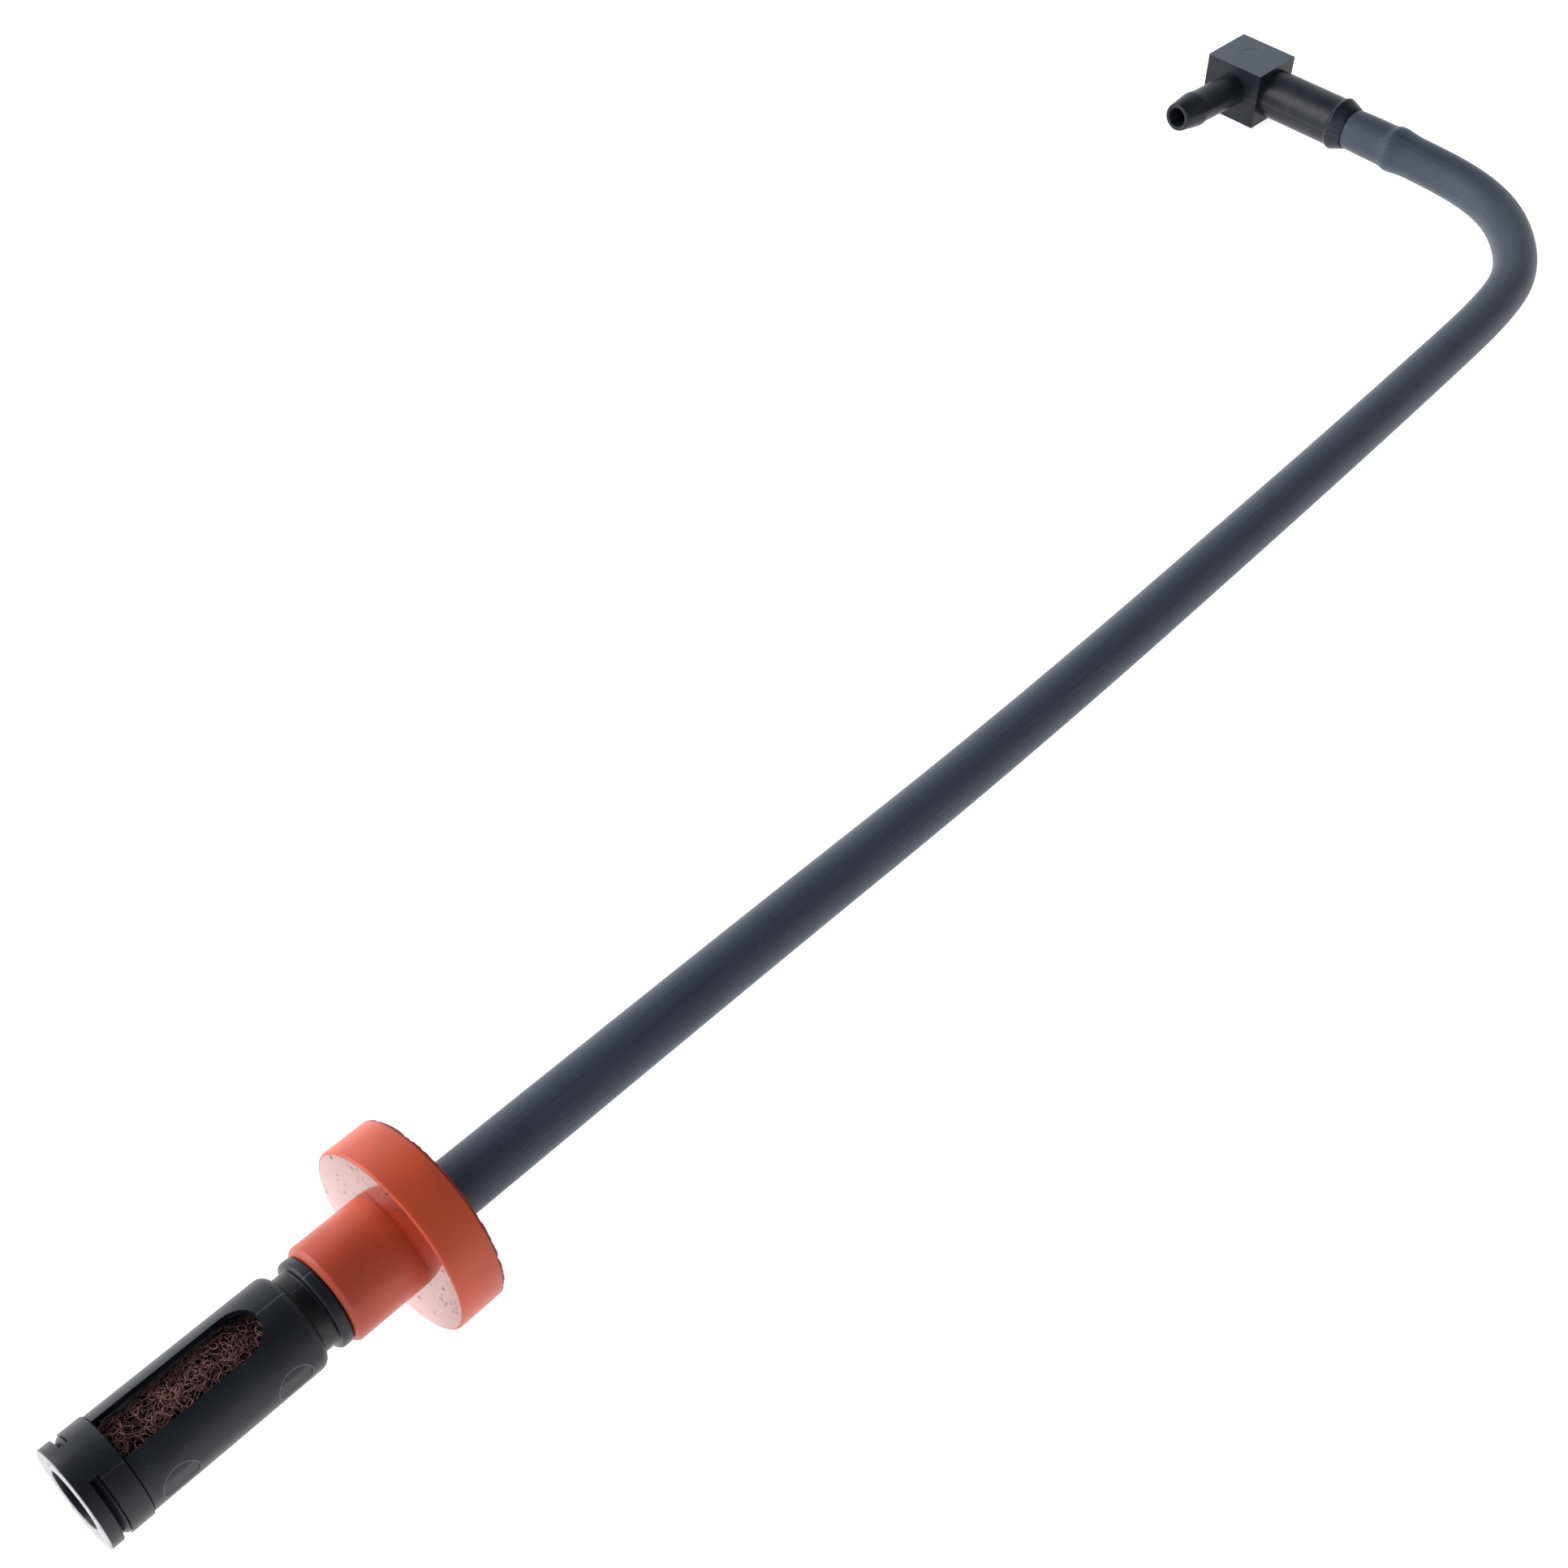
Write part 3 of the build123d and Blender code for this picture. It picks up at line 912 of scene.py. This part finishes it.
def sleevePaint(settings):
    paint, here, cloud, grain, glints, rare = silicone(
        "orange silicone", Subsurface_Weight=0.3, Subsurface_Radius=(1, 0.3, 0.14),
        Subsurface_Scale=0.0014, Sheen_Weight=0.04, Sheen_Roughness=0.3,
        Sheen_Tint=(1, 0.85, 0.8, 1),
    )
    along = paint.parts(here)[0]
    start = settings["start"] * mm
    seat = start + settings["sleeve"][0] * mm
    back = seat + settings["flange"][0] * mm
    # painted shade in the corner at the sleeve's root
    rootShade = along.band(seat - 0.0015, seat - 0.0002) * (along < seat + 0.00005)
    first, second = settings["orange"]
    colour = paint.mix(cloud.band(0.35, 0.7), tone(*first), tone(*second))
    # the sleeve is darkened towards its filter end, a painted shade
    away = along.band(start + 0.00005, seat - 0.0007, (1, 0))
    colour = paint.mix(away * 0.6, colour, tone(*settings["sleeveEndShade"]))
    colour = paint.mix(rootShade * 0.25, colour, tone(*settings["rootShade"]))
    # light specks as painted glints
    bright = glints * grain.band(0.5, 0.62) * 0.4
    colour = paint.mix(bright, colour, tone(*settings["glints"]))
    colour = paint.mix(rare * 0.5, colour, tone(*settings["rare"]))
    edge = along.band(back - 0.00042, back - 0.00024)
    paint.set("Base Color", paint.mix(edge * 0.85, colour, tone(*settings["cutEdge"])))
    paint.set("Normal", paint.bump(grain * 0.7 + cloud * 0.3, 0.00004, 0.5))
    return paint


def seatPaint(settings):
    paint, here, cloud, grain, glints, rare = silicone(
        "polished silicone face", Coat_IOR=2.25, Coat_Roughness=0.03
    )
    side, up = paint.parts(here)[1:3]
    patch = paint.noise(here, 300, 2).band(0.44, 0.58)
    grime = paint.noise(here, 1300, 4, 0.75).band(0.55, 0.61) * patch
    spots = paint.specks(here, 850, 0.24) * patch
    first, second = settings["face"]
    colour = paint.mix(cloud.band(0.35, 0.7) * 0.6, tone(*first), tone(*second))
    colour = paint.mix(grime * 0.85, colour, tone(*settings["grime"]))
    colour = paint.mix(spots * 0.9, colour, tone(*settings["spots"]))
    colour = paint.mix(rare * 0.7, colour, tone(*settings["faceRare"]))
    # close to the sleeve, on its upper side, the face gets a painted reflection of the sleeve with
    # painted glints
    near = paint.reach(side, up).band(0.0066, 0.0074, (1, 0))
    near = near * (up * 0.9 - side * 0.43).band(0.0038, 0.0054)
    mirrored, bright = settings["mirrored"]
    colour = paint.mix(near * 0.85, colour, tone(*mirrored))
    colour = paint.mix(near * glints * grain.band(0.5, 0.6), colour, tone(*bright))
    paint.set("Base Color", colour)
    paint.set("Coat Weight", (1 - grime * 0.7) * (1 - spots * 0.85) * (0.92 - near * 0.7))
    paint.set("Normal", paint.bump(cloud, 0.00002, 0.05))
    return paint


grommetPiece = makeGrommet(grommet, sleevePaint(grommet), seatPaint(grommet))
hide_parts("grommet")
print("grommet made")

# elbow fitting
elbow = {
    "block": (10.3, 11.7, 10.3),  # width, length, height
    "blockStart": 17.45,
    "edge": 0.28,
    "shank": 4.25,
    "ridge": (2.25, 2.65, 3.0, 4.6),  # cone end, ridge end, shank start, radius
    "cone": 3.7,
    "stem": (6.9, 1.6, 1.2),  # length, radius, bore
    "spigot": (2.95, 3.1, 2.45, 16.0),  # radius, barb radius, tip radius, length
    "rise": 3.0,  # degrees
    "barb": (5.0, 1.4, 0.5),  # distance from the tip, length of its slope, length of its crown
    "spigotBore": (1.7, 9),  # radius, depth
    "eject": (2.3, 0.05),  # radius, depth of the round mark on top
    "base": (27, 31, 38),
    "light": (40, 45, 53),
    # painted reflection on the block's top face
    "top": (92, 99, 110),
    # painted highlight along the parting line
    "line": (96, 98, 102),
    "stain": (62, 56, 50),
}


def elbowBlock(settings, middle, paint):  # a soft-edged block with the round mark on top
    width, length, height = settings["block"]
    bm = bmesh.new()
    bmesh.ops.create_cube(bm, size=1)
    bmesh.ops.scale(bm, vec=Vector((length, width, height)) * mm, verts=bm.verts)
    bmesh.ops.translate(bm, vec=(middle * mm, 0, 0), verts=bm.verts)
    piece = makePiece("elbowBlock", bm, elbowFrame, [paint])
    radius, depth = settings["eject"]
    mark = drum(radius, height / 2 - depth, height)
    cutAway(piece, [asCutter(mark, elbowFrame @ Matrix.Translation((middle * mm, 0, 0)))])
    softenEdges(piece, settings["edge"] / 2, 3)
    bm = bmesh.new()
    bm.from_mesh(finished(piece))
    bpy.data.objects.remove(piece)
    bmesh.ops.transform(bm, matrix=elbowFrame.inverted(), verts=bm.verts)
    return bm


def elbowShank(settings, middle):
    coneEnd, ridgeEnd, shankStart, ridge = settings["ridge"]
    length, radius, bore = settings["stem"]
    shank = settings["shank"]
    bm = bmesh.new()
    loft(bm, [
        (-length, bore), (-length, radius), (0.05, radius), (0.05, settings["cone"]),
        (coneEnd, ridge), (ridgeEnd, ridge), (shankStart, shank), (middle, shank),
        (middle, bore),
    ], 96)
    roundRing(bm, coneEnd, ridge, 0.18)
    roundRing(bm, ridgeEnd, ridge, 0.18)
    roundRing(bm, shankStart, shank, 0.25)
    return bm


def elbowSpigot(settings, middle):
    plain, barb, tip, length = settings["spigot"]
    fromTip, slope, crown = settings["barb"]
    bore, depth = settings["spigotBore"]
    tipEnd = settings["block"][0] / 2 + length
    barbStart = tipEnd - fromTip
    bm = bmesh.new()
    loft(bm, [
        (0, 0.3), (0, plain), (barbStart - slope, plain - 0.05), (barbStart, barb),
        (barbStart + crown, barb), (tipEnd, tip), (tipEnd, bore), (tipEnd - depth, bore),
        (tipEnd - depth, 0.3),
    ], 72)
    roundRing(bm, barbStart, barb, 0.22)
    roundRing(bm, barbStart + crown, barb, 0.22)
    roundRing(bm, barbStart - slope, plain - 0.05, 0.4)
    roundRing(bm, tipEnd, tip, 0.25)
    roundRing(bm, tipEnd, bore, 0.12, 2)
    turn = Matrix.Rotation(math.radians(90), 4, "Z")
    turn = turn @ Matrix.Rotation(math.radians(-settings["rise"]), 4, "Y")
    place = Matrix.Translation((middle * mm, 0, 0)) @ turn
    bmesh.ops.transform(bm, matrix=place, verts=bm.verts)
    return bm


def makeElbow(settings, paint):
    middle = settings["blockStart"] + settings["block"][1] / 2
    bm = elbowBlock(settings, middle, paint)
    for extra in (elbowShank(settings, middle), elbowSpigot(settings, middle)):
        mesh = bpy.data.meshes.new("elbow part")
        extra.to_mesh(mesh)
        extra.free()
        bm.from_mesh(mesh)
    return makePiece("barbedElbow", bm, elbowFrame, [paint], "elbow", flat=8)


def elbowDetails(paint, here, colour, height, settings):
    along, side, up = paint.parts(here)
    # the block's top face is lightened, a painted reflection
    top = up > settings["block"][2] / 2 * mm - 0.0001
    colour = paint.mix(top * 0.8, colour, tone(*settings["top"]))
    # a thin light line along the mould's parting line, a painted highlight over a ridge in the bump
    wander = paint.noise(here, 400, 2) - 0.5
    seam = abs(up + wander * 0.0003).band(0.00004, 0.0001, (1, 0))
    colour = paint.mix(seam * 0.3, colour, tone(*settings["line"]))
    stain = paint.noise(here, 520, 3).band(0.45, 0.7) * (side < 0.0053) * (along < 0.0165)
    colour = paint.mix(stain * 0.2, colour, tone(*settings["stain"]))
    return colour, height + seam * 0.6


elbowPaint = nylon("elbow nylon", elbow, elbowPlace, elbowDetails)
elbowPiece = makeElbow(elbow, elbowPaint)
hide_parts("elbow_fitting")
print("elbow made")

# floor and light
studio = {
    "floorHalf": 15,  # m
    "floorTone": (0.8, 0.8, 0.8, 1),
    "floorGlow": 0.85,  # the floor is a light table
    "sky": (1.25, 0.1),  # brightness low down and overhead
    "fade": (0.5, 0.9),  # heights of the two
    "horizon": (1.1, 0.01, 0.1),  # brightness at the horizon and the heights where it fades
    "dark": 0.3,  # brightness left on the viewer's side
    "lit": (-0.35, 0.94),  # side that the light comes from
    "tint": (0.92, 0.97, 1.03, 1),
    "lamp": ((-0.45, 0.85, 0.5), (0.12, 0.02, 0.01), 0.8, 8.0),  # place, aim, size, power
}


def makeFloor(settings):
    bm = bmesh.new()
    bmesh.ops.create_grid(bm, x_segments=1, y_segments=1, size=settings["floorHalf"])
    floor = asObject("floor", bm)
    floor.location.z = -0.0001
    paint = Paint("pale floor", Base_Color=settings["floorTone"], Roughness=0.6,
                  Emission_Color=(1, 1, 1, 1), Emission_Strength=settings["floorGlow"])
    floor.data.materials.append(paint.material)


def makeSky(settings):
    world = bpy.data.worlds.new("studio")
    world.use_nodes = True
    scene.world = world
    sky = Nodes(world.node_tree)
    east, north, height = sky.parts(sky.node("ShaderNodeTexCoord", give="Generated"))[:3]
    lit = settings["lit"]
    shade = (east * lit[0] + north * lit[1]).band(-0.9, 0.5, (settings["dark"], 1))
    glow, *fade = settings["horizon"]
    low = height.band(*fade, (1, 0))
    level = height.band(*settings["fade"], settings["sky"]) * shade * (1 - low) + low * glow
    light = sky.node("ShaderNodeBackground", None, {"Color": settings["tint"], "Strength": level})
    sky.node("ShaderNodeOutputWorld", None, {"Surface": light})


def makeLamp(settings):
    place, aim, size, power = settings["lamp"]
    lamp = bpy.data.lights.new("softbox", "AREA")
    lamp.shape = "SQUARE"
    lamp.size = size
    lamp.energy = power
    holder = newObject("softbox", lamp)
    holder.location = place
    holder.rotation_mode = "QUATERNION"
    holder.rotation_quaternion = (Vector(aim) - Vector(place)).to_track_quat("-Z", "Y")


makeFloor(studio)
makeSky(studio)
makeLamp(studio)
print("studio lit")
